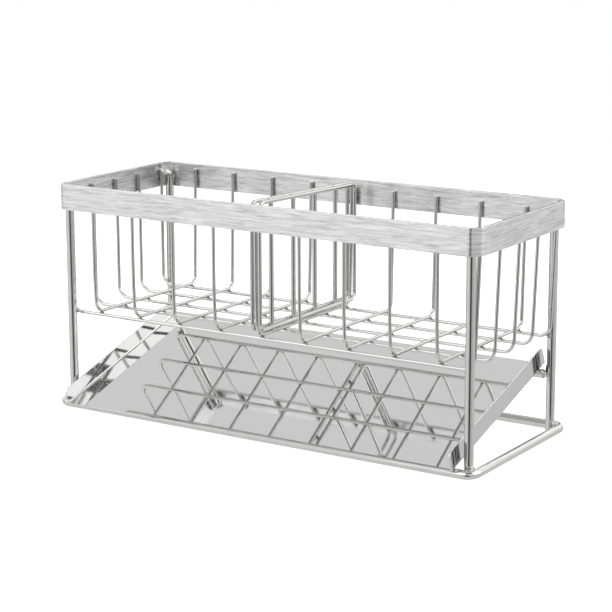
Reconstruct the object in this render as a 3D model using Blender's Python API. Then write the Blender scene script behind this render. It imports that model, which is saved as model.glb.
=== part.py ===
"""Countertop draining rack of stainless wire, rod, strip and sheet.

A flat strip, bent into a rounded rectangle, is the rim of a wire basket. Five long wires and nine
cross wires are bent into shallow U shapes, laid over each other and welded inside the rim. Four rods
stand in the corners of the rim and of a rod ring on the worktop. A sloping sheet tray lies on the
ring's front rail and on a rod between the rear legs, and a wire divider straddles the middle wire.

Metres, +Z up. The origin is on the ground, in the middle of the rack's footprint.
"""
import math

import bmesh
import bpy
from mathutils import Vector

# Clearance between pieces that touch on the real rack
SEAT_GAP = 0.0003

# Rim band: a flat strip bent round
BAND_LENGTH = 0.280
BAND_DEPTH = 0.108
BAND_HEIGHT = 0.0152
BAND_THICKNESS = 0.002
BAND_CORNER_RADIUS = 0.008
BAND_EDGE_ROUND = 0.0003
RACK_HEIGHT = 0.134

# Rods: legs, base ring and the rod under the tray
ROD_DIAMETER = 0.0052
LEG_NEST_ANGLE = math.radians(67.0)
LEG_TOP_DROP = 0.0053
LEG_BOTTOM_RISE = 0.0012
RING_FRONT_CLEARANCE = 0.0009
TRAY_ROD_HEIGHT = 0.03415
TRAY_ROD_SETBACK = 0.0021

# Basket wires
WIRE_DIAMETER = 0.0021
WIRE_BEND_RADIUS = 0.007
CROSS_WIRE_COUNT = 9
CROSS_WIRE_HEIGHT = 0.059
CROSS_WIRE_END_MARGIN = 0.0236
CROSS_TIP_DROP_FIRST = 0.003
CROSS_TIP_DROP_LAST = 0.006
LONG_WIRE_COUNT = 5
LONG_TIP_DROP = 0.004
BACK_WALL_LEAN = 0.0021
RIGHT_WALL_LEAN = 0.0026

# Drip tray: one folded sheet
TRAY_SHEET = 0.0008
TRAY_FLANGE_HEIGHT = 0.0096
TRAY_FOLD_RADIUS = 0.0016
TRAY_FRONT_CORNER_RADIUS = 0.0035
TRAY_REAR_CORNER_RADIUS = 0.0025
TRAY_SIDE_CLEARANCE = 0.0025
TRAY_FRONT_OVERHANG = 0.006
TRAY_BACK_OVERHANG = 0.0045
TRAY_EDGE_ROUND = 0.0002

# Divider: two wire loops with bars between them
DIVIDER_WIRE_DIAMETER = 0.0024
DIVIDER_BAR_DIAMETER = 0.0028
DIVIDER_BEND_RADIUS = 0.004
DIVIDER_BAR_COUNT = 4
DIVIDER_BAR_SHIFT = -0.0015
DIVIDER_FRONT_RISE = 0.0006
DIVIDER_REAR_DROP = 0.0027
DIVIDER_REAR_PLAY = 0.0008
DIVIDER_FOOT_REACH = 0.0021

# Facets of the round sections and bends
ROD_SIDES = 16
WIRE_SIDES = 10
BEND_STEPS = 6
RIM_STEPS = 8
FOLD_STEPS = 4
CORNER_STEPS = 3

# Sizes that follow from the ones above
ROD_RADIUS = ROD_DIAMETER / 2
ROD_FLAT = ROD_RADIUS * math.cos(math.pi / ROD_SIDES)
WIRE_RADIUS = WIRE_DIAMETER / 2
BAND_INNER_X = BAND_LENGTH / 2 - BAND_THICKNESS
BAND_INNER_Y = BAND_DEPTH / 2 - BAND_THICKNESS
WIRE_WALL_X = BAND_INNER_X - SEAT_GAP - WIRE_RADIUS
WIRE_WALL_Y = BAND_INNER_Y - SEAT_GAP - WIRE_RADIUS
LONG_WIRE_HEIGHT = CROSS_WIRE_HEIGHT - WIRE_DIAMETER - SEAT_GAP

LEG_NEST = BAND_CORNER_RADIUS - BAND_THICKNESS - SEAT_GAP - ROD_RADIUS
LEG_X = BAND_LENGTH / 2 - BAND_CORNER_RADIUS + LEG_NEST * math.cos(LEG_NEST_ANGLE)
LEG_Y = BAND_DEPTH / 2 - BAND_CORNER_RADIUS + LEG_NEST * math.sin(LEG_NEST_ANGLE)
RING_X = LEG_X + ROD_DIAMETER + SEAT_GAP
RING_Y = LEG_Y + ROD_DIAMETER + RING_FRONT_CLEARANCE
RING_CORNER_RADIUS = ROD_DIAMETER + RING_FRONT_CLEARANCE

CROSS_WIRE_PITCH = 2 * (BAND_INNER_X - CROSS_WIRE_END_MARGIN) / (CROSS_WIRE_COUNT - 1)
LONG_WIRE_PITCH = 2 * (LEG_Y - ROD_RADIUS - SEAT_GAP - WIRE_RADIUS) / (LONG_WIRE_COUNT - 1)

TRAY_ROD_Y = LEG_Y - TRAY_ROD_SETBACK
TRAY_SLOPE = math.atan2(TRAY_ROD_HEIGHT - ROD_FLAT, TRAY_ROD_Y + RING_Y)
TRAY_SEAT_SPACING = math.hypot(TRAY_ROD_HEIGHT - ROD_FLAT, TRAY_ROD_Y + RING_Y)
TRAY_SEAT_RISE = ROD_RADIUS + SEAT_GAP
TRAY_SEAT_Y = -RING_Y - TRAY_SEAT_RISE * math.sin(TRAY_SLOPE)
TRAY_SEAT_Z = ROD_FLAT + TRAY_SEAT_RISE * math.cos(TRAY_SLOPE)
TRAY_INNER_X = LEG_X - ROD_RADIUS - TRAY_SIDE_CLEARANCE - TRAY_SHEET
TRAY_TOP = TRAY_SHEET + TRAY_FLANGE_HEIGHT

DIVIDER_LOOP_X = DIVIDER_BAR_DIAMETER / 2 + SEAT_GAP + DIVIDER_WIRE_DIAMETER / 2
DIVIDER_LOOP_Y = BAND_INNER_Y - SEAT_GAP - DIVIDER_WIRE_DIAMETER / 2
DIVIDER_FOOT = CROSS_WIRE_HEIGHT + WIRE_RADIUS + SEAT_GAP
DIVIDER_BACK_Y = DIVIDER_LOOP_Y - DIVIDER_REAR_PLAY
DIVIDER_FRONT_TOP = RACK_HEIGHT + DIVIDER_FRONT_RISE - DIVIDER_FOOT
DIVIDER_REAR_TOP = RACK_HEIGHT - DIVIDER_REAR_DROP - DIVIDER_FOOT

# The tray's flanges reach further forward than the ring reaches back, so the rack stands off centre
TRAY_FRONT_REACH = (-TRAY_SEAT_Y + TRAY_FRONT_OVERHANG * math.cos(TRAY_SLOPE)
                    + TRAY_TOP * math.sin(TRAY_SLOPE))
RACK_OFFSET_Y = (TRAY_FRONT_REACH - RING_Y - ROD_FLAT) / 2


def clear_scene():
    for item in list(bpy.data.objects):
        bpy.data.objects.remove(item, do_unlink=True)


def steel(name, colour, roughness):
    """A metallic Principled material."""
    material = bpy.data.materials.new(name)
    material.use_nodes = True
    shader = material.node_tree.nodes["Principled BSDF"]
    shader.inputs["Base Color"].default_value = (*colour, 1.0)
    shader.inputs["Metallic"].default_value = 1.0
    shader.inputs["Roughness"].default_value = roughness
    return material


def empty(name, parent=None, location=(0, 0, 0), tilt=0.0):
    """A frame that pieces hang on; the tilt turns it about X."""
    frame = bpy.data.objects.new(name, None)
    frame.parent = parent
    frame.location = location
    frame.rotation_euler = (tilt, 0, 0)
    bpy.context.collection.objects.link(frame)
    return frame


def place(name, data, material, parent, location=(0, 0, 0)):
    """Put a finished mesh or curve into the scene as one named piece."""
    piece = bpy.data.objects.new(name, data)
    data.materials.append(material)
    piece.parent = parent
    piece.location = location
    bpy.context.collection.objects.link(piece)
    return piece


def rounded_path(corners, bend_radius, steps, closed=False):
    """Points along straight runs, with a round bend at each corner between them."""
    points = []
    last = len(corners) - 1
    for index, corner in enumerate(corners):
        if not closed and index in (0, last):
            points.append(corner)
            continue
        before = (corners[index - 1] - corner).normalized()
        after = (corners[(index + 1) % len(corners)] - corner).normalized()
        half_opening = before.angle(after) / 2
        centre = corner + (before + after).normalized() * (bend_radius / math.sin(half_opening))
        tangent = bend_radius / math.tan(half_opening)
        start = corner + before * tangent - centre
        end = corner + after * tangent - centre
        for step in range(steps + 1):
            points.append(centre + bend_radius * start.slerp(end, step / steps))
    return points


def rectangle(half_length, half_depth):
    """Corners of a level rectangle, counter-clockwise from above."""
    return [Vector((half_length, -half_depth, 0)), Vector((half_length, half_depth, 0)),
            Vector((-half_length, half_depth, 0)), Vector((-half_length, -half_depth, 0))]


def round_bar(name, points, diameter, sides, material, parent, location=(0, 0, 0), closed=False):
    """A wire or rod along a path, with a facet of its round section facing down."""
    curve = bpy.data.curves.new(name, "CURVE")
    curve.dimensions = "3D"
    curve.bevel_depth = diameter / 2
    curve.bevel_resolution = sides // 2 - 2
    curve.use_fill_caps = True
    curve.twist_mode = "MINIMUM"
    spline = curve.splines.new("POLY")
    spline.points.add(len(points) - 1)
    for target, point in zip(spline.points, points):
        target.co = (*point, 1.0)
        target.tilt = math.pi / sides
    spline.use_cyclic_u = closed
    spline.use_smooth = True
    return place(name, curve, material, parent, location)


def sheet_piece(name, lines, thickness, edge_round, material, parent, location=(0, 0, 0), closed=False):
    """A sheet through equal lines of points, thickened behind its face and eased at its edges."""
    mesh = bpy.data.meshes.new(name)
    shape = bmesh.new()
    rows = [[shape.verts.new(point) for point in line] for line in lines]
    count = len(rows[0])
    for first, second in zip(rows, rows[1:]):
        for index in range(count if closed else count - 1):
            following = (index + 1) % count
            shape.faces.new((first[index], first[following], second[following], second[index]))
    shape.to_mesh(mesh)
    shape.free()
    mesh.shade_smooth()
    piece = place(name, mesh, material, parent, location)
    solidify = piece.modifiers.new("thickness", "SOLIDIFY")
    solidify.thickness = thickness
    solidify.offset = -1
    solidify.use_even_offset = True
    solidify.use_quality_normals = True
    bevel = piece.modifiers.new("eased edges", "BEVEL")
    bevel.width = edge_round
    bevel.segments = 1
    bevel.limit_method = "ANGLE"
    bevel.angle_limit = math.radians(60)
    return piece


def make_band(rack, material):
    """The rim: an upright strip round a rounded rectangle, thickened inwards."""
    corners = rectangle(BAND_LENGTH / 2, BAND_DEPTH / 2)
    outline = rounded_path(corners, BAND_CORNER_RADIUS, RIM_STEPS, closed=True)
    lift = Vector((0, 0, BAND_HEIGHT))
    raised = [point + lift for point in outline]
    sheet_piece("top_band", (outline, raised), BAND_THICKNESS, BAND_EDGE_ROUND, material, rack,
                location=(0, 0, RACK_HEIGHT - BAND_HEIGHT), closed=True)


def make_frame(rack, material):
    """The ring on the worktop, four legs in its corners and the rod that carries the tray."""
    ring = rounded_path(rectangle(RING_X, RING_Y), RING_CORNER_RADIUS, RIM_STEPS, closed=True)
    round_bar("base_ring", ring, ROD_DIAMETER, ROD_SIDES, material, rack,
              location=(0, 0, ROD_FLAT), closed=True)
    leg_length = RACK_HEIGHT - LEG_TOP_DROP - LEG_BOTTOM_RISE
    leg = [Vector((0, 0, 0)), Vector((0, 0, leg_length))]
    for end, side_y in (("front", -1), ("rear", 1)):
        for side, side_x in (("left", -1), ("right", 1)):
            round_bar(f"leg_{end}_{side}", leg, ROD_DIAMETER, ROD_SIDES, material, rack,
                      location=(side_x * LEG_X, side_y * LEG_Y, LEG_BOTTOM_RISE))
    reach = LEG_X - ROD_RADIUS - SEAT_GAP
    rod = [Vector((-reach, 0, 0)), Vector((reach, 0, 0))]
    round_bar("tray_support_rod", rod, ROD_DIAMETER, ROD_SIDES, material, rack,
              location=(0, TRAY_ROD_Y, TRAY_ROD_HEIGHT))


def make_cross_wires(rack, material):
    """Wires bent up at the front and the back, laid over the long wires and welded in the rim."""
    for index in range(CROSS_WIRE_COUNT):
        along = index / (CROSS_WIRE_COUNT - 1)
        drop = CROSS_TIP_DROP_FIRST + along * (CROSS_TIP_DROP_LAST - CROSS_TIP_DROP_FIRST)
        rise = RACK_HEIGHT - drop - CROSS_WIRE_HEIGHT
        back_foot = WIRE_WALL_Y - BACK_WALL_LEAN
        corners = [Vector((0, -WIRE_WALL_Y, rise)), Vector((0, -WIRE_WALL_Y, 0)),
                   Vector((0, back_foot, 0)), Vector((0, WIRE_WALL_Y, rise))]
        path = rounded_path(corners, WIRE_BEND_RADIUS, BEND_STEPS)
        x = (index - (CROSS_WIRE_COUNT - 1) / 2) * CROSS_WIRE_PITCH
        round_bar(f"cross_wire_{index + 1}", path, WIRE_DIAMETER, WIRE_SIDES, material, rack,
                  location=(x, 0, CROSS_WIRE_HEIGHT))


def make_long_wires(rack, material):
    """Wires bent up at both ends; the outer two run along the legs."""
    rise = RACK_HEIGHT - LONG_TIP_DROP - LONG_WIRE_HEIGHT
    right_foot = WIRE_WALL_X - RIGHT_WALL_LEAN
    corners = [Vector((-WIRE_WALL_X, 0, rise)), Vector((-WIRE_WALL_X, 0, 0)),
               Vector((right_foot, 0, 0)), Vector((WIRE_WALL_X, 0, rise))]
    path = rounded_path(corners, WIRE_BEND_RADIUS, BEND_STEPS)
    for index in range(LONG_WIRE_COUNT):
        y = (index - (LONG_WIRE_COUNT - 1) / 2) * LONG_WIRE_PITCH
        round_bar(f"long_wire_{index + 1}", path, WIRE_DIAMETER, WIRE_SIDES, material, rack,
                  location=(0, y, LONG_WIRE_HEIGHT))


def side_to_side(y, drop):
    """The tray's inner face across its length, with its upright sides lower by a drop."""
    top = TRAY_TOP - drop
    section = [Vector((TRAY_INNER_X, y, top)), Vector((TRAY_INNER_X, y, TRAY_SHEET)),
               Vector((-TRAY_INNER_X, y, TRAY_SHEET)), Vector((-TRAY_INNER_X, y, top))]
    return rounded_path(section, TRAY_FOLD_RADIUS, FOLD_STEPS)


def make_tray(rack, material):
    """A sheet with two upright, round-cornered sides, sloping down over the ring's front rail."""
    seat = empty("tray_slide", rack, (0, TRAY_SEAT_Y, TRAY_SEAT_Z), TRAY_SLOPE)
    front = -TRAY_FRONT_OVERHANG
    back = TRAY_SEAT_SPACING + TRAY_BACK_OVERHANG
    lines = []
    for end, inwards, radius in ((back, -1, TRAY_REAR_CORNER_RADIUS), (front, 1, TRAY_FRONT_CORNER_RADIUS)):
        stations = []
        for step in range(CORNER_STEPS + 1):
            angle = math.pi / 2 * step / CORNER_STEPS
            stations.append((end + inwards * radius * (1 - math.cos(angle)), radius * (1 - math.sin(angle))))
        lines += [side_to_side(y, drop) for y, drop in (stations if inwards < 0 else reversed(stations))]
    sheet_piece("drip_tray", lines, TRAY_SHEET, TRAY_EDGE_ROUND, material, seat)


def make_divider(rack, material):
    """Two upright wire loops either side of the middle cross wire, with bars that stand on it.

    The loops reach a little higher at the front than at the back, and so do the bars.
    """
    lift = empty("divider_lift", rack, (0, 0, DIVIDER_FOOT))
    bottom = DIVIDER_FOOT_REACH
    corners = [Vector((0, -DIVIDER_LOOP_Y, bottom)), Vector((0, DIVIDER_BACK_Y, bottom)),
               Vector((0, DIVIDER_BACK_Y, DIVIDER_REAR_TOP)), Vector((0, -DIVIDER_LOOP_Y, DIVIDER_FRONT_TOP))]
    loop = rounded_path(corners, DIVIDER_BEND_RADIUS, BEND_STEPS, closed=True)
    for side, side_x in (("left", -1), ("right", 1)):
        round_bar(f"divider_loop_{side}", loop, DIVIDER_WIRE_DIAMETER, WIRE_SIDES, material, lift,
                  location=(side_x * DIVIDER_LOOP_X, 0, 0), closed=True)
    for index in range(DIVIDER_BAR_COUNT):
        y = (index - (DIVIDER_BAR_COUNT - 1) / 2) * LONG_WIRE_PITCH + DIVIDER_BAR_SHIFT
        share = (y + DIVIDER_LOOP_Y) / (DIVIDER_BACK_Y + DIVIDER_LOOP_Y)
        top = DIVIDER_FRONT_TOP + share * (DIVIDER_REAR_TOP - DIVIDER_FRONT_TOP)
        bar = [Vector((0, 0, 0)), Vector((0, 0, top))]
        round_bar(f"divider_bar_{index + 1}", bar, DIVIDER_BAR_DIAMETER, WIRE_SIDES, material, lift,
                  location=(0, y, 0))


def main():
    clear_scene()
    rack = empty("rack_centre", location=(0, RACK_OFFSET_Y, 0))
    make_band(rack, steel("brushed_strip", (0.78, 0.78, 0.78), 0.30))
    rod_steel = steel("polished_rod", (0.70, 0.70, 0.70), 0.10)
    make_frame(rack, rod_steel)
    wire_steel = steel("polished_wire", (0.70, 0.70, 0.70), 0.10)
    make_cross_wires(rack, wire_steel)
    make_long_wires(rack, wire_steel)
    make_tray(rack, steel("mirror_sheet", (0.70, 0.70, 0.70), 0.05))
    make_divider(rack, steel("divider_wire", (0.70, 0.70, 0.70), 0.10))


main()
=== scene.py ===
"""Looks of the countertop draining rack: polished wire and rod, a brushed rim and a mirror tray."""

import math

import bmesh
import bpy
from mathutils import Matrix, Vector


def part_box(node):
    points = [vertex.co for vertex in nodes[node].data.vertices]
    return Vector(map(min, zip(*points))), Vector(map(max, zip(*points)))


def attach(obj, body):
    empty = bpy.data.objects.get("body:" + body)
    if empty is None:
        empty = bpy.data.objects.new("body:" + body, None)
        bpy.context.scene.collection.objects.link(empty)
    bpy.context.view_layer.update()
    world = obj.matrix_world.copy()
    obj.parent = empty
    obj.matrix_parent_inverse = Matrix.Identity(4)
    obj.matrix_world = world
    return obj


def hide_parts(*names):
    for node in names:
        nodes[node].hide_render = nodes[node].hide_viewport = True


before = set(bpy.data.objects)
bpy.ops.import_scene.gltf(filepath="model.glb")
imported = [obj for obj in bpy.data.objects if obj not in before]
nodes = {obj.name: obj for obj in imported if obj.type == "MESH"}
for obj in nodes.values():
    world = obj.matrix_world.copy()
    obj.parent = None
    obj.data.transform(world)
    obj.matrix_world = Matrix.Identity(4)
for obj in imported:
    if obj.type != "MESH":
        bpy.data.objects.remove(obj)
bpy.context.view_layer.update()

MM = 0.001
X_AXIS = Vector((1, 0, 0))
Y_AXIS = Vector((0, 1, 0))
Z_AXIS = Vector((0, 0, 1))

# Wires, rods and bars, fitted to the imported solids
WIRE_RADIUS = 1.05 * MM
ROD_RADIUS = 2.6 * MM
LOOP_RADIUS = 1.2 * MM
BAR_RADIUS = 1.4 * MM
WIRE_BEND = 7.0 * MM
REAR_BEND = 4.6 * MM
LEAN_BEND = 160.0 * MM
LOOP_BEND = 4.0 * MM
LOOP_SLOPE = 3.3 * MM
RING_BEND = 6.1 * MM
FRONT_WALL_LEAN = 1.1 * MM
FRONT_LEAN_HEIGHT = 22.0 * MM
BACK_WALL_LEAN = 2.1 * MM
RIGHT_WALL_LEAN = 2.6 * MM
SEAT_GAP = 0.3 * MM
FOOT_LEAN = 0.3 * MM
LEG_CAP = 3.0 * MM
CUT_CHAMFER = 0.25 * MM

# The rim's strip
BAND_THICKNESS = 2.0 * MM
BAND_CORNER_CUT = 4.8 * MM
BAND_BEND = 3.0 * MM
BAND_EDGE = 0.45 * MM

# The tray's sheet: its sides differ in height and lean, it is spread a little wider than the solid,
# and it lies turned slightly askew
TRAY_SHEET = 0.8 * MM
TRAY_FOLD = 1.0 * MM
TRAY_LEFT_FLANGE = 9.0 * MM
TRAY_RIGHT_FLANGE = 10.5 * MM
TRAY_LEFT_LEAN = math.tan(math.radians(1.6))
TRAY_RIGHT_LEAN = math.tan(math.radians(4.5))
TRAY_SPREAD = 1.25 * MM
TRAY_TURN = math.radians(0.5)
TRAY_FRONT_OVERHANG = 4.9 * MM
TRAY_BACK_OVERHANG = 4.5 * MM
TRAY_FRONT_CORNER = 3.8 * MM
TRAY_REAR_CORNER = 2.5 * MM
TRAY_EDGE_ROUND = 0.18 * MM

# Weld beads: half sizes in millimetres along, across and off the surface
CROSSING_BEAD = (1.8, 1.0, 0.45)
TIP_BEAD = (1.6, 0.8, 0.4)
FOOT_BEAD = (2.2, 2.0, 0.7)
RIM_BEAD = (3.4, 1.7, 0.75)
WIRE_BEAD = (1.9, 1.1, 0.6)
ROD_END_BEAD = (2.0, 1.5, 1.1)
SHADE_BEAD = (2.4, 0.7, 0.6)
CAP_BEAD = (1.5, 1.1, 0.45)
BAR_BEAD = (1.5, 1.2, 0.6)
BRIDGE_OVERLAP = 1.4
BRIDGE_WIDTH = 1.9
BRIDGE_HEIGHT = 1.7

# Places of the beads, from the parts that they join
TIP_RISE = 2.5 * MM
RIM_RISE = 5.0 * MM
BRIDGE_DROP = 0.5 * MM
BRIDGE_INSET = 0.8 * MM
ROD_END_OUT = 0.4 * MM
ROD_END_FORWARD = 1.6 * MM
SHADE_OUT = 1.5 * MM
SHADE_BACK = 2.3 * MM
SHADE_RISE = 0.6 * MM
BAR_TOP_DROP = 0.4 * MM

# Smoothness of the modelled pieces
WIRE_SIDES = 20
ROD_SIDES = 32
BEND_STEPS = 14
RIM_STEPS = 12
RIM_EDGE_STEPS = 4
CORNER_STEPS = 4
TRAY_EDGE_STEPS = 3
BEAD_SUBDIVISIONS = 2
SHARP_ANGLE = math.radians(40)
EASED_ANGLE = math.radians(60)
FLAT_WEIGHT = 100

# Grain of the brushed strip, in cells per metre along and across it, and its drift in metres
DRIFT_GRAIN = (70.0, 420.0, 1.0)
HAIRLINE_GRAIN = (85.0, 1500.0, 1.0)
STREAK_GRAIN = (35.0, 620.0, 1.0)
DRIFT_SHIFT = (0.0, 0.0022, 0.0)
STREAK_SHARE = 0.5
BRUSHED_TONES = [(0.34, 0.47), (0.5, 0.68), (0.66, (0.85, 0.85, 0.845))]
BRUSHED_GLOSS = [(0.3, 0.22), (0.7, 0.34)]
BRUSHED_ANISOTROPY = 0.85
BRUSHED_TURN = 0.25
BRUSHED_DEPTH = 0.00012
BRUSHED_STRENGTH = 0.7

# Grain of the polished bars and of the mirror sheet
LINES_GRAIN = (9.0, 40.0, 1.0)
LINES_STOPS = (0.3, 0.7)
LINES_STRENGTH = 0.35
CLOUD_GRAIN = (160.0, 160.0, 160.0)
CLOUD_STOPS = (0.35, 0.65)
CLOUD_BLUE = (0.995, 0.99)
HAZE_GRAIN = (30.0, 90.0, 90.0)
WAVE_GRAIN = (9.0, 14.0, 14.0)
MIRROR_TONES = [(0.35, 0.635), (0.65, (0.65, 0.65, 0.648))]
MIRROR_GLOSS = [(0.35, 0.02), (0.65, 0.05)]
WAVE_DEPTH = 0.00004
WAVE_STRENGTH = 0.1

# The floor, which fades out from half its reach to its edge
FLOOR_EDGE = 1.2
FLOOR_SIDES = 96
FLOOR_DROP = 0.2 * MM
FLOOR_PAINT = 0.75
FLOOR_GLOW = 0.8

# The photograph's view, solved from its edges
CAMERA_AZIMUTH = math.radians(32.8907)
CAMERA_ELEVATION = math.radians(12.7191)
CAMERA_ROLL = math.radians(-0.1893)
CAMERA_DISTANCE = 1.1065014
CAMERA_TARGET = Vector((0.00022, 0.00356, 0.06689))
CAMERA_LENS = 112.686
CAMERA_SENSOR = 36.0
CAMERA_NEAR = 0.05
CAMERA_FAR = 50.0

# The camera's azimuth in degrees, counter-clockwise from +X
CAMERA_TURN = 32.89 - 90.0

# The bowl below the horizon, plain further down than the first depth in degrees, and toned by share
# of a turn from the camera's azimuth above the second
BOWL_REACH = 2.2
BOWL_STEPS = 72
BOWL_ROWS = 12
BOWL_DEPTHS = (28, 20)
BOWL_FLOOR = 0.8
BOWL_TONES = [(0.0, 0.06), (0.037, 0.07), (0.055, 0.5), (0.144, 0.62), (0.233, 0.74), (0.32, 0.76),
              (0.5, 0.55), (0.644, 0.65), (0.767, 0.92), (0.83, 0.95), (0.945, 0.5), (0.963, 0.07),
              (1.0, 0.06)]

# Cards: name, direction, distance, width, height and tone
CARDS = [("card_back", (-0.53, 0.55, 0.62), 2.0, 1.3, 1.5, 0.89)]

# Panels: name, azimuths from the camera's and elevations in degrees, and tone
PANEL_REACH = 2.1
PANEL_STEPS = 12
PANELS = [("panel_left", (-95, -12), (8, 52), 1.7),
          ("panel_right", (46, 111), (8, 56), 1.95),
          ("panel_far", (118, 155), (16, 56), 1.35),
          ("panel_edge", (157, 173), (9, 37), 0.3),
          ("panel_front", (-16, 38), (33, 56), 0.10),
          ("panel_dark", (-14, 14), (0, 11), 0.06),
          ("panel_ceiling", (0, 360), (58, 90), 0.6)]

# Lamps: name, direction, distance, width, height and radiance
LAMPS = [("softbox_top", (0.0, 0.0, 1.0), 1.7, 1.6, 1.2, 0.25),
         ("softbox_front", (-0.45, -0.67, 0.6), 1.8, 1.5, 1.0, 0.3),
         ("softbox_right", (0.60, 0.48, 0.64), 1.8, 1.5, 1.0, 0.3)]

# The world is plain white
WORLD_TONE = 1.0
WORLD_STRENGTH = 1.0


# Paths

def rounded_path(corners, radius, steps, closed=False):
    """Points along straight runs, with a round bend of one radius, or one from a list, at each corner."""
    points = []
    last = len(corners) - 1
    for index, corner in enumerate(corners):
        if not closed and index in (0, last):
            points.append(corner.copy())
            continue
        before = (corners[index - 1] - corner).normalized()
        after = (corners[(index + 1) % len(corners)] - corner).normalized()
        half_opening = before.angle(after) / 2
        bend_radius = radius[index] if isinstance(radius, list) else radius
        centre = corner + (before + after).normalized() * (bend_radius / math.sin(half_opening))
        tangent = bend_radius / math.tan(half_opening)
        start = (before * tangent + corner - centre).normalized()
        end = (after * tangent + corner - centre).normalized()
        for step in range(steps + 1):
            points.append(centre + bend_radius * start.slerp(end, step / steps))
    return points


def level_rectangle(low, high, z):
    """Corners of a level rectangle, counter-clockwise from above."""
    return [Vector((high.x, low.y, z)), Vector((high.x, high.y, z)),
            Vector((low.x, high.y, z)), Vector((low.x, low.y, z))]


def cut_corners(corners, cut):
    """Each corner of a closed outline gives way to two, a cut away from it along each side."""
    points = []
    for index, corner in enumerate(corners):
        before = (corners[index - 1] - corner).normalized()
        after = (corners[(index + 1) % len(corners)] - corner).normalized()
        points += [corner + before * cut, corner + after * cut]
    return points


def tangents_along(path, closed):
    """The direction of a path at each of its points, halfway between its runs into and out of it."""
    count = len(path)
    tangents = []
    for index in range(count):
        before = path[index - 1] if closed or index else path[index]
        after = path[(index + 1) % count] if closed or index < count - 1 else path[index]
        into = (path[index] - before).normalized()
        out_of = (after - path[index]).normalized()
        tangents.append((into + out_of).normalized())
    return tangents


# Meshes

def named(start):
    """The frame's nodes whose names start with these letters, in order."""
    return sorted(name for name in nodes if name.startswith(start))


def mesh_from(name, shape):
    """Turn a bmesh into a mesh."""
    mesh = bpy.data.meshes.new(name)
    shape.to_mesh(mesh)
    shape.free()
    return mesh


def finished(name, shape, material, body, replaced):
    """Turn a bmesh into a smooth shaded piece that rides on a body and stands for CAD nodes."""
    bmesh.ops.recalc_face_normals(shape, faces=shape.faces)
    mesh = mesh_from(name, shape)
    mesh.shade_smooth()
    mesh.set_sharp_from_angle(angle=SHARP_ANGLE)
    mesh.materials.append(material)
    piece = bpy.data.objects.new(name, mesh)
    bpy.context.collection.objects.link(piece)
    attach(piece, body)
    if replaced:
        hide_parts(*replaced)
    return piece


def keep_flat(piece):
    """Shade the flat faces of a piece flat, and only its bends and rounded edges smooth."""
    flat = piece.modifiers.new("flat faces", "WEIGHTED_NORMAL")
    flat.mode = "FACE_AREA"
    flat.weight = FLAT_WEIGHT
    flat.keep_sharp = True


def bar_stations(path, radius, closed):
    """Stations of a round bar: a centre, two directions across, a radius and the metres travelled."""
    tangents = tangents_along(path, closed)
    side = tangents[0].orthogonal().normalized()
    stations = []
    travelled = 0.0
    for index, tangent in enumerate(tangents):
        side = (side - tangent * side.dot(tangent)).normalized()
        if index:
            travelled += (path[index] - path[index - 1]).length
        stations.append((path[index], side.copy(), tangent.cross(side), radius, travelled))
    if closed:
        return stations
    first, last = stations[0], stations[-1]
    start_in = (first[0] + tangents[0] * CUT_CHAMFER, first[1], first[2], radius, CUT_CHAMFER)
    end_in = (last[0] - tangents[-1] * CUT_CHAMFER, last[1], last[2], radius, last[4] - CUT_CHAMFER)
    stations[0] = first[:3] + (radius - CUT_CHAMFER, 0.0)
    stations[-1] = last[:3] + (radius - CUT_CHAMFER, last[4])
    stations.insert(1, start_in)
    stations.insert(-1, end_in)
    return stations


def closing_shift(stations, sides):
    """Sides by which the last ring of a closed sweep is turned against the first."""
    first, last = stations[0], stations[-1]
    angle = math.atan2(last[1].dot(first[2]), last[1].dot(first[1]))
    return round(angle / (2 * math.pi) * sides)


def lay_face(shape, uv, corners, places):
    """Add a face and give each of its corners a place on the UV."""
    face = shape.faces.new(corners)
    for loop, place in zip(face.loops, places):
        loop[uv].uv = place


def join_rings(shape, uv, here, there, along, ahead):
    """Faces between two rings of a bar, from the metres along it at one to those at the other."""
    sides = len(here)
    for turn in range(sides):
        following = (turn + 1) % sides
        share = turn / sides
        next_share = (turn + 1) / sides
        lay_face(shape, uv, (here[turn], here[following], there[following], there[turn]),
                 ((share, along), (next_share, along), (next_share, ahead), (share, ahead)))


def sweep(shape, path, radius, sides, closed):
    """Add a round bar along a path; the UV runs round it and, in metres, along it."""
    stations = bar_stations(path, radius, closed)
    uv = shape.loops.layers.uv.verify()
    rings = []
    for point, side, up, size, _ in stations:
        ring = []
        for turn in range(sides):
            angle = 2 * math.pi * turn / sides
            ring.append(shape.verts.new(point + size * (math.cos(angle) * side + math.sin(angle) * up)))
        rings.append(ring)
    lengths = [station[4] for station in stations]
    for index in range(len(rings) - 1):
        join_rings(shape, uv, rings[index], rings[index + 1], lengths[index], lengths[index + 1])
    if closed:
        shift = closing_shift(stations, sides)
        turned = rings[0][shift:] + rings[0][:shift]
        join_rings(shape, uv, rings[-1], turned, lengths[-1], lengths[-1] + (path[0] - path[-1]).length)
    else:
        shape.faces.new(reversed(rings[0]))
        shape.faces.new(rings[-1])


def bead(shape, centre, along, across, reach, width, height):
    """Add a small weld bead: a squashed ball, long one way, wide another and low the third."""
    normal = along.cross(across)
    turn = Matrix((along * reach, across * width, normal * height)).transposed().to_4x4()
    bmesh.ops.create_icosphere(shape, subdivisions=BEAD_SUBDIVISIONS, radius=1.0,
                               matrix=Matrix.Translation(centre) @ turn)


# Materials

def grey(tone):
    """A plain grey with full alpha."""
    return (tone, tone, tone, 1.0)


def blank_material(name):
    """A node material with only its output, and the socket that its surface goes to."""
    material = bpy.data.materials.new(name)
    material.use_nodes = True
    tree = material.node_tree
    tree.nodes.clear()
    output = tree.nodes.new("ShaderNodeOutputMaterial")
    return material, tree, output.inputs["Surface"]


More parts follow.
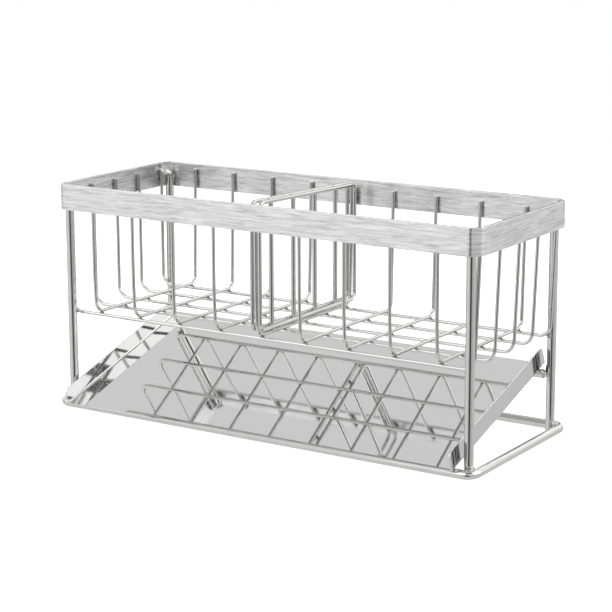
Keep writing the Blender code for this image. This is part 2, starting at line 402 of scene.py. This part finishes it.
def metal(name):
    """A node material with a metallic shader."""
    material, tree, surface = blank_material(name)
    shader = tree.nodes.new("ShaderNodeBsdfPrincipled")
    shader.inputs["Metallic"].default_value = 1.0
    tree.links.new(shader.outputs["BSDF"], surface)
    return material, tree, shader


def coordinate(tree, kind):
    """A texture coordinate, UV or Object."""
    return tree.nodes.new("ShaderNodeTexCoord").outputs[kind]


def stretched_noise(tree, source, scale, detail=2.0, roughness=0.5):
    """Noise on a coordinate that is stretched by a scale along each axis."""
    mapping = tree.nodes.new("ShaderNodeMapping")
    mapping.inputs["Scale"].default_value = scale
    noise = tree.nodes.new("ShaderNodeTexNoise")
    noise.inputs["Scale"].default_value = 1.0
    noise.inputs["Detail"].default_value = detail
    noise.inputs["Roughness"].default_value = roughness
    tree.links.new(source, mapping.inputs["Vector"])
    tree.links.new(mapping.outputs["Vector"], noise.inputs["Vector"])
    return noise.outputs["Fac"]


def ramp(tree, source, stops):
    """A colour ramp from (place, value or colour) stops."""
    node = tree.nodes.new("ShaderNodeValToRGB")
    elements = node.color_ramp.elements
    while len(elements) < len(stops):
        elements.new(1.0)
    for element, (place, value) in zip(elements, stops):
        element.position = place
        element.color = (*value, 1.0) if isinstance(value, tuple) else grey(value)
    tree.links.new(source, node.inputs["Fac"])
    return node.outputs["Color"]


def bump(tree, shader, height, distance, strength):
    """Let a height roughen the shader's normal, as deep as a distance in metres."""
    node = tree.nodes.new("ShaderNodeBump")
    node.inputs["Distance"].default_value = distance
    node.inputs["Strength"].default_value = strength
    tree.links.new(height, node.inputs["Height"])
    tree.links.new(node.outputs["Normal"], shader.inputs["Normal"])


def wavy_grain(tree):
    """Hairlines and wider streaks along the UV's length, both drifting a little sideways."""
    uv = coordinate(tree, "UV")
    drift = stretched_noise(tree, uv, DRIFT_GRAIN)
    shifted = tree.nodes.new("ShaderNodeVectorMath")
    shifted.operation = "MULTIPLY_ADD"
    shifted.inputs[1].default_value = DRIFT_SHIFT
    tree.links.new(drift, shifted.inputs[0])
    tree.links.new(uv, shifted.inputs[2])
    wavy = shifted.outputs["Vector"]
    mixed = tree.nodes.new("ShaderNodeMix")
    mixed.inputs["Factor"].default_value = STREAK_SHARE
    for socket, grain in (("A", HAIRLINE_GRAIN), ("B", STREAK_GRAIN)):
        lines = stretched_noise(tree, wavy, grain, detail=3.0, roughness=0.6)
        tree.links.new(lines, mixed.inputs[socket])
    return mixed.outputs["Result"]


def brushed_steel():
    """Strip brushed along its length: long wavy hairlines that turn its gloss up and down."""
    material, tree, shader = metal("brushed_strip")
    grain = wavy_grain(tree)
    along = tree.nodes.new("ShaderNodeTangent")
    along.direction_type = "UV_MAP"
    tree.links.new(along.outputs["Tangent"], shader.inputs["Tangent"])
    shader.inputs["Anisotropic"].default_value = BRUSHED_ANISOTROPY
    shader.inputs["Anisotropic Rotation"].default_value = BRUSHED_TURN
    tree.links.new(ramp(tree, grain, BRUSHED_TONES), shader.inputs["Base Color"])
    tree.links.new(ramp(tree, grain, BRUSHED_GLOSS), shader.inputs["Roughness"])
    bump(tree, shader, grain, BRUSHED_DEPTH, BRUSHED_STRENGTH)
    return material


def polished_steel(name, tone, gloss, marks):
    """Drawn and polished bar: faint lines along it and small changes of gloss.

    Tone and gloss are each a low and a high value, and marks is the depth of the lines in metres.
    """
    material, tree, shader = metal(name)
    lines = stretched_noise(tree, coordinate(tree, "UV"), LINES_GRAIN)
    cloud = stretched_noise(tree, coordinate(tree, "Object"), CLOUD_GRAIN, detail=3.0)
    tones = [(stop, (value, value, value * blue))
             for stop, value, blue in zip(CLOUD_STOPS, tone, CLOUD_BLUE)]
    tree.links.new(ramp(tree, cloud, tones), shader.inputs["Base Color"])
    tree.links.new(ramp(tree, lines, list(zip(LINES_STOPS, gloss))), shader.inputs["Roughness"])
    bump(tree, shader, lines, marks, LINES_STRENGTH)
    return material


def mirror_steel():
    """Mirror-polished sheet: almost flat, with the faintest polishing haze."""
    material, tree, shader = metal("mirror_sheet")
    place = coordinate(tree, "Object")
    haze = stretched_noise(tree, place, HAZE_GRAIN, detail=4.0, roughness=0.6)
    wave = stretched_noise(tree, place, WAVE_GRAIN, detail=1.0)
    tree.links.new(ramp(tree, haze, MIRROR_TONES), shader.inputs["Base Color"])
    tree.links.new(ramp(tree, haze, MIRROR_GLOSS), shader.inputs["Roughness"])
    bump(tree, shader, wave, WAVE_DEPTH, WAVE_STRENGTH)
    return material


band_steel = brushed_steel()
rod_steel = polished_steel("polished_rod", tone=(0.62, 0.66), gloss=(0.04, 0.09), marks=0.00002)
wire_steel = polished_steel("polished_wire", tone=(0.62, 0.66), gloss=(0.05, 0.10), marks=0.00002)
divider_steel = polished_steel("divider_wire", tone=(0.62, 0.66), gloss=(0.05, 0.10), marks=0.00002)
# Dark weld steel, which also paints the shade in the crevices at the wire crossings and the divider's
# joints
dark_weld_and_shade_steel = polished_steel("weld_bead_and_shade", tone=(0.30, 0.42), gloss=(0.25, 0.45), marks=0.00006)
# Near-black steel that paints the deep shade in the corner between the tray rod and each rear leg
painted_shade_steel = polished_steel("painted_shade_steel", tone=(0.05, 0.10), gloss=(0.4, 0.6), marks=0.00004)
# Light steel that paints highlights on the welds at the legs' tops and the tray rod's ends, and on the
# wire tips
painted_highlight_steel = polished_steel("painted_highlight_steel", tone=(0.86, 0.94), gloss=(0.18, 0.34), marks=0.00004)
tray_steel = mirror_steel()


# The rim

def rim_section(half_thickness, height):
    """Outline of the strip's section as (outwards, up) pairs, with rounded edges."""
    section = []
    for out, up, start in ((1, 1, 0), (-1, 1, 90), (-1, -1, 180), (1, -1, 270)):
        for step in range(RIM_EDGE_STEPS + 1):
            angle = math.radians(start + 90 * step / RIM_EDGE_STEPS)
            section.append((out * (half_thickness - BAND_EDGE) + BAND_EDGE * math.cos(angle),
                            up * (height / 2 - BAND_EDGE) + BAND_EDGE * math.sin(angle)))
    return section


def rim_rings(shape, line, section):
    """The strip's section at each point of its line, square to the line."""
    rings = []
    for index, point in enumerate(line):
        before = (point - line[index - 1]).normalized()
        after = (line[(index + 1) % len(line)] - point).normalized()
        tangent = (before + after).normalized()
        outwards = Vector((tangent.y, -tangent.x, 0))
        rings.append([shape.verts.new(point + outwards * out + Vector((0, 0, up))) for out, up in section])
    return rings


def rim_lengths(line, section):
    """Metres along the strip's line and round its section, from their first points back to them."""
    lengths = [0.0]
    for index, point in enumerate(line):
        lengths.append(lengths[-1] + (line[(index + 1) % len(line)] - point).length)
    around = [0.0]
    for index, (out, up) in enumerate(section):
        following = section[(index + 1) % len(section)]
        around.append(around[-1] + math.hypot(following[0] - out, following[1] - up))
    return lengths, around


def make_band():
    """The rim: a rounded strip section carried round the rectangle."""
    low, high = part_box("top_band")
    half = BAND_THICKNESS / 2
    inset = Vector((half, half, 0))
    middle_z = (low.z + high.z) / 2
    corners = cut_corners(level_rectangle(low + inset, high - inset, middle_z), BAND_CORNER_CUT)
    line = rounded_path(corners, BAND_BEND, RIM_STEPS, closed=True)
    section = rim_section(half, high.z - low.z)
    lengths, around = rim_lengths(line, section)
    shape = bmesh.new()
    uv = shape.loops.layers.uv.verify()
    rings = rim_rings(shape, line, section)
    for index, here in enumerate(rings):
        there = rings[(index + 1) % len(rings)]
        for step in range(len(section)):
            following = (step + 1) % len(section)
            lay_face(shape, uv, (here[step], there[step], there[following], here[following]),
                     ((lengths[index], around[step]), (lengths[index + 1], around[step]),
                      (lengths[index + 1], around[step + 1]), (lengths[index], around[step + 1])))
    keep_flat(finished("rim_strip", shape, band_steel, "rack", ["top_band"]))


# Rods and wires

def make_bar(name, path, radius, sides, material, body, closed=False):
    """A round bar along a path, in place of the node of that name."""
    shape = bmesh.new()
    sweep(shape, path, radius, sides, closed)
    finished(name + "_bar", shape, material, body, [name])


def make_ring():
    """The closed rod ring that the rack stands on."""
    low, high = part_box("base_ring")
    inset = Vector((ROD_RADIUS, ROD_RADIUS, 0))
    ring = rounded_path(level_rectangle(low + inset, high - inset, low.z + ROD_RADIUS),
                        RING_BEND, BEND_STEPS, closed=True)
    make_bar("base_ring", ring, ROD_RADIUS, ROD_SIDES, rod_steel, "rack", closed=True)


def make_legs():
    """The four legs, their feet leaning out a little and their tops left to the welds."""
    for name in ("leg_front_left", "leg_front_right", "leg_rear_left", "leg_rear_right"):
        low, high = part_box(name)
        middle = (low + high) / 2
        foot_x = middle.x + math.copysign(FOOT_LEAN, middle.x)
        leg = [Vector((foot_x, middle.y, low.z)), Vector((middle.x, middle.y, high.z - LEG_CAP))]
        make_bar(name, leg, ROD_RADIUS, ROD_SIDES, rod_steel, "rack")


def make_tray_rod():
    """The rod between the rear legs that carries the tray's back."""
    low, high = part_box("tray_support_rod")
    middle = (low + high) / 2
    rod = [Vector((low.x, middle.y, middle.z)), Vector((high.x, middle.y, middle.z))]
    make_bar("tray_support_rod", rod, ROD_RADIUS, ROD_SIDES, rod_steel, "rack")


def make_cross_wires():
    """Wires from front to back: the front wall leans in by its foot, and the back wall all the way."""
    for name in named("cross_wire_"):
        low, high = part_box(name)
        x = (low.x + high.x) / 2
        front = low.y + WIRE_RADIUS
        back = high.y - WIRE_RADIUS
        floor = low.z + WIRE_RADIUS
        corners = [Vector((x, front, high.z)), Vector((x, front, floor + FRONT_LEAN_HEIGHT)),
                   Vector((x, front + FRONT_WALL_LEAN, floor)),
                   Vector((x, back - BACK_WALL_LEAN, floor)), Vector((x, back, high.z))]
        path = rounded_path(corners, [0, LEAN_BEND, WIRE_BEND, REAR_BEND, 0], BEND_STEPS)
        make_bar(name, path, WIRE_RADIUS, WIRE_SIDES, wire_steel, "rack")


def make_long_wires():
    """Wires from left to right under the cross wires, with a leaning right wall."""
    for name in named("long_wire_"):
        low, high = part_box(name)
        y = (low.y + high.y) / 2
        left = low.x + WIRE_RADIUS
        right = high.x - WIRE_RADIUS
        floor = low.z + WIRE_RADIUS
        corners = [Vector((left, y, high.z)), Vector((left, y, floor)),
                   Vector((right - RIGHT_WALL_LEAN, y, floor)), Vector((right, y, high.z))]
        path = rounded_path(corners, WIRE_BEND, BEND_STEPS)
        make_bar(name, path, WIRE_RADIUS, WIRE_SIDES, wire_steel, "rack")


# The divider

def make_divider_loops():
    """Two closed loops, a little higher at the front than at the back."""
    for name, side in (("divider_loop_left", -1), ("divider_loop_right", 1)):
        low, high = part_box(name)
        x = side * (BAR_RADIUS + LOOP_RADIUS)
        inset = Vector((0, LOOP_RADIUS, LOOP_RADIUS))
        low, high = low + inset, high - inset
        front_top = high.z + LOOP_BEND * LOOP_SLOPE / (high.y - low.y)
        corners = [Vector((x, low.y, low.z)), Vector((x, high.y, low.z)),
                   Vector((x, high.y, front_top - LOOP_SLOPE)), Vector((x, low.y, front_top))]
        loop = rounded_path(corners, LOOP_BEND, BEND_STEPS, closed=True)
        make_bar(name, loop, LOOP_RADIUS, WIRE_SIDES, divider_steel, "divider", closed=True)


def make_divider_bars():
    """The upright bars between the loops."""
    for name in named("divider_bar_"):
        low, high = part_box(name)
        y = (low.y + high.y) / 2
        bar = [Vector((0, y, low.z)), Vector((0, y, high.z))]
        make_bar(name, bar, BAR_RADIUS, WIRE_SIDES, divider_steel, "divider")


# The tray

def corner_stations(end, inwards, radius):
    """Places along the tray by its end, each with how much lower the round corner makes the sides."""
    stations = []
    for step in range(CORNER_STEPS + 1):
        angle = math.pi / 2 * step / CORNER_STEPS
        stations.append((end + inwards * radius * (1 - math.cos(angle)), radius * (1 - math.sin(angle))))
    return stations


def sheet_face(outer_x, floor, drop, bend):
    """One face of the sheet across the tray, from the right side's top over the floor to the left's."""
    right_top = TRAY_SHEET + TRAY_RIGHT_FLANGE - drop
    left_top = TRAY_SHEET + TRAY_LEFT_FLANGE - drop
    corners = [Vector((outer_x - right_top * TRAY_RIGHT_LEAN, 0, right_top)), Vector((outer_x, 0, floor)),
               Vector((-outer_x, 0, floor)), Vector((left_top * TRAY_LEFT_LEAN - outer_x, 0, left_top))]
    return rounded_path(corners, bend, BEND_STEPS)


def tray_section(outer_x, drop):
    """Outline across the tray: along its inner face and back along its outer face."""
    inner = sheet_face(outer_x - TRAY_SHEET, TRAY_SHEET, drop, TRAY_FOLD)
    outer = sheet_face(outer_x, 0, drop, TRAY_FOLD + TRAY_SHEET)
    return inner + outer[::-1]


def tray_rows(shape):
    """The tray's section from its front lip to its rear edge, seated on the front rail and the rod."""
    _, tray_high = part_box("drip_tray")
    ring_low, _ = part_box("base_ring")
    rod_low, rod_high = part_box("tray_support_rod")
    rail = Vector((0, ring_low.y + ROD_RADIUS, ring_low.z + ROD_RADIUS))
    rod = Vector((0, (rod_low.y + rod_high.y) / 2, (rod_low.z + rod_high.z) / 2))
    slope = math.atan2(rod.z - rail.z, rod.y - rail.y)
    along = Vector((0, math.cos(slope), math.sin(slope)))
    normal = Vector((0, -math.sin(slope), math.cos(slope)))
    seat = rail + normal * (ROD_RADIUS + SEAT_GAP)
    front = -TRAY_FRONT_OVERHANG
    back = (rod - rail).length + TRAY_BACK_OVERHANG
    stations = corner_stations(front, 1, TRAY_FRONT_CORNER)
    stations += reversed(corner_stations(back, -1, TRAY_REAR_CORNER))
    half_way = (front + back) / 2
    middle = seat + along * half_way
    askew = Matrix.Rotation(TRAY_TURN, 3, normal)
    rows = []
    for distance, drop in stations:
        origin = along * (distance - half_way)
        section = tray_section(tray_high.x + TRAY_SPREAD, drop)
        places = [origin + Vector((point.x, 0, 0)) + normal * point.z for point in section]
        rows.append([shape.verts.new(middle + askew @ place) for place in places])
    return rows


def make_tray():
    """The folded sheet, square to its slope, with round-cornered sides and eased edges."""
    shape = bmesh.new()
    rows = tray_rows(shape)
    count = len(rows[0])
    for here, there in zip(rows, rows[1:]):
        for index in range(count):
            following = (index + 1) % count
            shape.faces.new((here[index], here[following], there[following], there[index]))
    for end in (rows[0], rows[-1]):
        for index in range(count // 2 - 1):
            mirror = count - 1 - index
            shape.faces.new((end[index], end[index + 1], end[mirror - 1], end[mirror]))
    piece = finished("tray_sheet_folded", shape, tray_steel, "drip_tray", ["drip_tray"])
    ease = piece.modifiers.new("eased edges", "BEVEL")
    ease.width = TRAY_EDGE_ROUND
    ease.segments = TRAY_EDGE_STEPS
    ease.limit_method = "ANGLE"
    ease.angle_limit = EASED_ANGLE
    keep_flat(piece)


# Welds

def weld_piece(name, material, body, beads):
    """One piece of weld beads; each bead is its centre, two directions and three half sizes."""
    shape = bmesh.new()
    for centre, along, across, size in beads:
        bead(shape, centre, along, across, *(length * MM for length in size))
    finished(name, shape, material, body, None)


def weld_crossings(cross, long):
    """A bead between the two wires at each crossing of the basket's floor; its dark steel paints the shade
    in the crevice under the crossing.
    """
    beads = []
    for cross_low, cross_high in cross:
        for long_low, long_high in long:
            middle = Vector(((cross_low.x + cross_high.x) / 2, (long_low.y + long_high.y) / 2,
                             cross_low.z - SEAT_GAP / 2))
            beads.append((middle, X_AXIS, Y_AXIS, CROSSING_BEAD))
    weld_piece("weld_crossings", dark_weld_and_shade_steel, "rack", beads)


def weld_tips(cross, long, inner_low, inner_high):
    """A bead between each wall of each wire and the rim, by the rim's lower edge."""
    beads = []
    for low, high in cross:
        for y in (inner_low.y, inner_high.y):
            centre = Vector(((low.x + high.x) / 2, y, inner_low.z + TIP_RISE))
            beads.append((centre, Z_AXIS, X_AXIS, TIP_BEAD))
    for low, high in long:
        for x in (inner_low.x, inner_high.x):
            centre = Vector((x, (low.y + high.y) / 2, inner_low.z + TIP_RISE))
            beads.append((centre, Z_AXIS, Y_AXIS, TIP_BEAD))
    weld_piece("weld_tips", dark_weld_and_shade_steel, "rack", beads)


def legs_and_wires(long):
    """For each leg: its sides along X and Y, its box, and the box of the long wire beside it."""
    for end, side_y, wire in (("front", -1, long[0]), ("rear", 1, long[-1])):
        for side, side_x in (("left", -1), ("right", 1)):
            yield side_x, side_y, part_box(f"leg_{end}_{side}"), wire


def weld_legs(long, inner_low, inner_high):
    """Beads at each leg's foot, on the rim beside it and on the long wire beside it."""
    beads = []
    for side_x, side_y, (low, high), (wire_low, wire_high) in legs_and_wires(long):
        middle = (low + high) / 2
        foot = Vector((middle.x + side_x * (ROD_RADIUS + SEAT_GAP / 2), middle.y, low.z + ROD_RADIUS))
        beads.append((foot, Y_AXIS, Z_AXIS, FOOT_BEAD))
        band_y = inner_low.y if side_y < 0 else inner_high.y
        rim = Vector((middle.x, band_y, inner_low.z + RIM_RISE))
        beads.append((rim, Z_AXIS, X_AXIS, RIM_BEAD))
        wire_y = (wire_low.y + wire_high.y) / 2
        beside = Vector((middle.x, wire_y + side_y * WIRE_RADIUS, wire_low.z + WIRE_RADIUS))
        beads.append((beside, X_AXIS, Z_AXIS, WIRE_BEAD))
    weld_piece("weld_legs", dark_weld_and_shade_steel, "rack", beads)


def paint_rod_corner_shade():
    """A dark bead on each rear leg, just above the end of the tray's rod: painted shade in the corner
    between the rod's top and the leg.
    """
    beads = []
    low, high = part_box("tray_support_rod")
    for x, side_x in ((low.x, -1), (high.x, 1)):
        shade_spot = Vector((x + side_x * SHADE_OUT, low.y + SHADE_BACK, high.z + SHADE_RISE))
        beads.append((shade_spot, Z_AXIS, Y_AXIS, SHADE_BEAD))
    weld_piece("paint_rod_corner_shade", painted_shade_steel, "rack", beads)


def weld_corners(long, inner_high):
    """Welds from each leg's top to the end of the wire beside it, and at the tray rod's ends, in a light
    steel that paints a highlight on them.
    """
    beads = []
    for side_x, _, (leg_low, leg_high), (wire_low, wire_high) in legs_and_wires(long):
        middle = (leg_low + leg_high) / 2
        wire_y = (wire_low.y + wire_high.y) / 2
        tip = Vector((side_x * (inner_high.x - WIRE_RADIUS), wire_y, wire_high.z - BRIDGE_DROP))
        top = Vector((middle.x - side_x * BRIDGE_INSET, middle.y, leg_high.z - LEG_CAP / 2))
        run = top - tip
        across = run.normalized().cross(Z_AXIS).normalized()
        size = (run.length / 2 / MM + BRIDGE_OVERLAP, BRIDGE_WIDTH, BRIDGE_HEIGHT)
        beads.append(((tip + top) / 2, run.normalized(), across, size))
    low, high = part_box("tray_support_rod")
    for x, side_x in ((low.x, -1), (high.x, 1)):
        centre = Vector((x + side_x * ROD_END_OUT, high.y - ROD_END_FORWARD, (low.z + high.z) / 2))
        beads.append((centre, Z_AXIS, Y_AXIS, ROD_END_BEAD))
    weld_piece("weld_corners", painted_highlight_steel, "rack", beads)


def weld_caps(cross, inner_high):
    """A bead on the upper rear end of each cross wire, in a light steel that paints the highlight on the
    wire's tip.
    """
    beads = []
    for low, high in cross:
        centre = Vector(((low.x + high.x) / 2, inner_high.y - WIRE_RADIUS, high.z))
        beads.append((centre, X_AXIS, Y_AXIS, CAP_BEAD))
    weld_piece("weld_caps", painted_highlight_steel, "rack", beads)


def weld_divider():
    """A bead on both sides of each bar, at its foot and by its top; its dark steel also paints the shade
    in the gaps where the bars meet the loops.
    """
    beads = []
    loop_low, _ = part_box("divider_loop_right")
    for name in named("divider_bar_"):
        low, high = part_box(name)
        for z in (loop_low.z + LOOP_RADIUS, high.z - BAR_TOP_DROP):
            for side in (-1, 1):
                centre = Vector((side * BAR_RADIUS, (low.y + high.y) / 2, z))
                beads.append((centre, Y_AXIS, Z_AXIS, BAR_BEAD))
    weld_piece("weld_divider", dark_weld_and_shade_steel, "divider", beads)


def make_welds():
    """Small beads where the wires, the rods and the rim are joined; dark ones also paint the shade in
    crevices and corners, and light ones paint highlights.
    """
    cross = [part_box(name) for name in named("cross_wire_")]
    long = [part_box(name) for name in named("long_wire_")]
    band_low, band_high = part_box("top_band")
    wall = Vector((1, 1, 0)) * BAND_THICKNESS
    inner_low = band_low + wall
    inner_high = band_high - wall
    weld_crossings(cross, long)
    weld_tips(cross, long, inner_low, inner_high)
    weld_legs(long, inner_low, inner_high)
    paint_rod_corner_shade()
    weld_corners(long, inner_high)
    weld_caps(cross, inner_high)
    weld_divider()


make_band()
make_ring()
make_legs()
make_tray_rod()
make_cross_wires()
make_long_wires()
make_tray()
make_divider_loops()
make_divider_bars()
make_welds()


# Stage: pale floor, studio light and the camera at the photograph's angle

def combined(tree, operation, first, second):
    """A math node on a value of another node and a second one, or a plain number."""
    node = tree.nodes.new("ShaderNodeMath")
    node.operation = operation
    tree.links.new(first, node.inputs[0])
    if isinstance(second, float):
        node.inputs[1].default_value = second
    else:
        tree.links.new(second, node.inputs[1])
    return node.outputs["Value"]


def edge_fade(tree):
    """0 over the middle of the floor, rising to 1 at its edge."""
    reach = tree.nodes.new("ShaderNodeVectorMath")
    reach.operation = "LENGTH"
    tree.links.new(coordinate(tree, "Object"), reach.inputs[0])
    share = tree.nodes.new("ShaderNodeMapRange")
    share.inputs["From Min"].default_value = FLOOR_EDGE / 2
    share.inputs["From Max"].default_value = FLOOR_EDGE
    tree.links.new(reach.outputs["Value"], share.inputs["Value"])
    return share.outputs["Result"]


def floor_material():
    """Pale paint that shadows fall on, lifted to white where it is seen, and clear at the edge."""
    material, tree, surface = blank_material("floor_white")
    paint = tree.nodes.new("ShaderNodeBsdfDiffuse")
    paint.inputs["Color"].default_value = grey(FLOOR_PAINT)
    rays = tree.nodes.new("ShaderNodeLightPath").outputs
    seen = combined(tree, "MAXIMUM", rays["Is Camera Ray"], rays["Is Glossy Ray"])
    seen = combined(tree, "MAXIMUM", seen, rays["Is Transmission Ray"])
    glow = tree.nodes.new("ShaderNodeEmission")
    tree.links.new(combined(tree, "MULTIPLY", seen, FLOOR_GLOW), glow.inputs["Strength"])
    both = tree.nodes.new("ShaderNodeAddShader")
    tree.links.new(paint.outputs["BSDF"], both.inputs[0])
    tree.links.new(glow.outputs["Emission"], both.inputs[1])
    clear = tree.nodes.new("ShaderNodeBsdfTransparent")
    fade = tree.nodes.new("ShaderNodeMixShader")
    tree.links.new(edge_fade(tree), fade.inputs["Fac"])
    tree.links.new(both.outputs["Shader"], fade.inputs[1])
    tree.links.new(clear.outputs["BSDF"], fade.inputs[2])
    tree.links.new(fade.outputs["Shader"], surface)
    return material


def make_floor():
    """A pale round of floor. It fades into the white round it, and keeps the object's soft shadow."""
    shape = bmesh.new()
    bmesh.ops.create_circle(shape, cap_ends=True, segments=FLOOR_SIDES, radius=FLOOR_EDGE)
    mesh = mesh_from("floor", shape)
    mesh.materials.append(floor_material())
    floor = bpy.data.objects.new("floor", mesh)
    floor.location = (0, 0, -FLOOR_DROP)
    bpy.context.collection.objects.link(floor)
    floor.visible_glossy = False


def dress_card(card, tone):
    """Give a card its tone, a number or a function that makes a node output, and hide it but in gloss."""
    material, tree, surface = blank_material(card.name + "_tone")
    glow = tree.nodes.new("ShaderNodeEmission")
    tree.links.new(glow.outputs["Emission"], surface)
    if callable(tone):
        tree.links.new(tone(tree), glow.inputs["Color"])
    else:
        glow.inputs["Color"].default_value = grey(tone)
    card.data.materials.append(material)
    bpy.context.collection.objects.link(card)
    card.visible_camera = False
    card.visible_diffuse = False
    card.visible_shadow = False


def hang(thing, direction, distance):
    """Put a thing off the set in a direction, with the object in front of its -Z side."""
    thing.location = Vector(direction).normalized() * distance
    thing.rotation_euler = Vector(direction).to_track_quat("Z", "Y").to_euler()


def make_card(name, direction, distance, width, height, tone):
    """A card of one plain tone, off the set, that only reflections show."""
    half = width / 2
    rise = height / 2
    corners = [(-half, -rise, 0), (half, -rise, 0), (half, rise, 0), (-half, rise, 0)]
    mesh = bpy.data.meshes.new(name)
    mesh.from_pydata(corners, [], [(0, 1, 2, 3)])
    card = bpy.data.objects.new(name, mesh)
    hang(card, direction, distance)
    dress_card(card, tone)


def bowl_tone(tree):
    """Tones by azimuth from the camera's below the horizon, and one plain tone further down."""
    place = coordinate(tree, "Object")
    turn = tree.nodes.new("ShaderNodeMapping")
    turn.inputs["Rotation"].default_value = (0, 0, math.radians(180 - CAMERA_TURN))
    tree.links.new(place, turn.inputs["Vector"])
    around = tree.nodes.new("ShaderNodeTexGradient")
    around.gradient_type = "RADIAL"
    tree.links.new(turn.outputs["Vector"], around.inputs["Vector"])
    parts = tree.nodes.new("ShaderNodeSeparateXYZ")
    tree.links.new(place, parts.inputs["Vector"])
    deep, shallow = BOWL_DEPTHS
    depth = tree.nodes.new("ShaderNodeMapRange")
    depth.inputs["From Min"].default_value = -BOWL_REACH * math.sin(math.radians(deep))
    depth.inputs["From Max"].default_value = -BOWL_REACH * math.sin(math.radians(shallow))
    tree.links.new(parts.outputs["Z"], depth.inputs["Value"])
    mixed = tree.nodes.new("ShaderNodeMix")
    mixed.data_type = "RGBA"
    mixed.inputs["A"].default_value = grey(BOWL_FLOOR)
    tree.links.new(depth.outputs["Result"], mixed.inputs["Factor"])
    tree.links.new(ramp(tree, around.outputs["Fac"], BOWL_TONES), mixed.inputs["B"])
    return mixed.outputs["Result"]


def make_bowl():
    """The surroundings below the table's edge: grey all round, and dark towards the camera."""
    shape = bmesh.new()
    rings = []
    for row in range(BOWL_ROWS):
        drop = math.radians(90 * row / BOWL_ROWS)
        level = BOWL_REACH * math.cos(drop)
        ring = []
        for step in range(BOWL_STEPS):
            turn = 2 * math.pi * step / BOWL_STEPS
            ring.append(shape.verts.new((level * math.cos(turn), level * math.sin(turn),
                                         -BOWL_REACH * math.sin(drop))))
        rings.append(ring)
    for upper, lower in zip(rings, rings[1:]):
        for step in range(BOWL_STEPS):
            following = (step + 1) % BOWL_STEPS
            shape.faces.new((upper[step], upper[following], lower[following], lower[step]))
    shape.faces.new(rings[-1])
    dress_card(bpy.data.objects.new("bowl", mesh_from("bowl", shape)), bowl_tone)


def make_panel(name, turns, rises, tone):
    """A patch of the sphere round the set, between two azimuths and two elevations in degrees.

    The azimuth is counted from the camera's, counter-clockwise from above.
    """
    shape = bmesh.new()
    rows = []
    for row in range(PANEL_STEPS + 1):
        rise = math.radians(rises[0] + (rises[1] - rises[0]) * row / PANEL_STEPS)
        line = []
        for step in range(PANEL_STEPS + 1):
            turn = math.radians(CAMERA_TURN + turns[0] + (turns[1] - turns[0]) * step / PANEL_STEPS)
            line.append(shape.verts.new((PANEL_REACH * math.cos(turn) * math.cos(rise),
                                         PANEL_REACH * math.sin(turn) * math.cos(rise),
                                         PANEL_REACH * math.sin(rise))))
        rows.append(line)
    for lower, upper in zip(rows, rows[1:]):
        for step in range(PANEL_STEPS):
            shape.faces.new((lower[step], lower[step + 1], upper[step + 1], upper[step]))
    dress_card(bpy.data.objects.new(name, mesh_from(name, shape)), tone)


def make_softbox(name, direction, distance, width, height, radiance):
    """A rectangular lamp that faces the object."""
    data = bpy.data.lights.new(name, "AREA")
    data.shape = "RECTANGLE"
    data.size = width
    data.size_y = height
    data.energy = radiance * math.pi * width * height
    lamp = bpy.data.objects.new(name, data)
    hang(lamp, direction, distance)
    bpy.context.collection.objects.link(lamp)
    lamp.visible_camera = False
    lamp.visible_glossy = False


def make_world():
    """White all round, behind the set and in reflections."""
    world = bpy.data.worlds.new("studio")
    world.use_nodes = True
    background = world.node_tree.nodes["Background"]
    background.inputs["Color"].default_value = grey(WORLD_TONE)
    background.inputs["Strength"].default_value = WORLD_STRENGTH
    bpy.context.scene.world = world


def make_camera():
    """The photograph's view."""
    away = Vector((math.sin(CAMERA_AZIMUTH) * math.cos(CAMERA_ELEVATION),
                   -math.cos(CAMERA_AZIMUTH) * math.cos(CAMERA_ELEVATION),
                   math.sin(CAMERA_ELEVATION)))
    forward = -away
    right = forward.cross(Z_AXIS).normalized()
    up = right.cross(forward)
    rolled_right = math.cos(CAMERA_ROLL) * right + math.sin(CAMERA_ROLL) * up
    rolled_up = math.cos(CAMERA_ROLL) * up - math.sin(CAMERA_ROLL) * right
    turn = Matrix((rolled_right, rolled_up, away)).transposed().to_4x4()
    data = bpy.data.cameras.new("camera")
    data.sensor_width = CAMERA_SENSOR
    data.lens = CAMERA_LENS
    data.clip_start = CAMERA_NEAR
    data.clip_end = CAMERA_FAR
    camera = bpy.data.objects.new("camera", data)
    camera.matrix_world = Matrix.Translation(CAMERA_TARGET + away * CAMERA_DISTANCE) @ turn
    bpy.context.collection.objects.link(camera)
    bpy.context.scene.camera = camera


make_floor()
make_bowl()
for card in CARDS:
    make_card(*card)
for panel in PANELS:
    make_panel(*panel)
for lamp in LAMPS:
    make_softbox(*lamp)
make_world()
make_camera()

bpy.context.scene.view_settings.view_transform = "Standard"
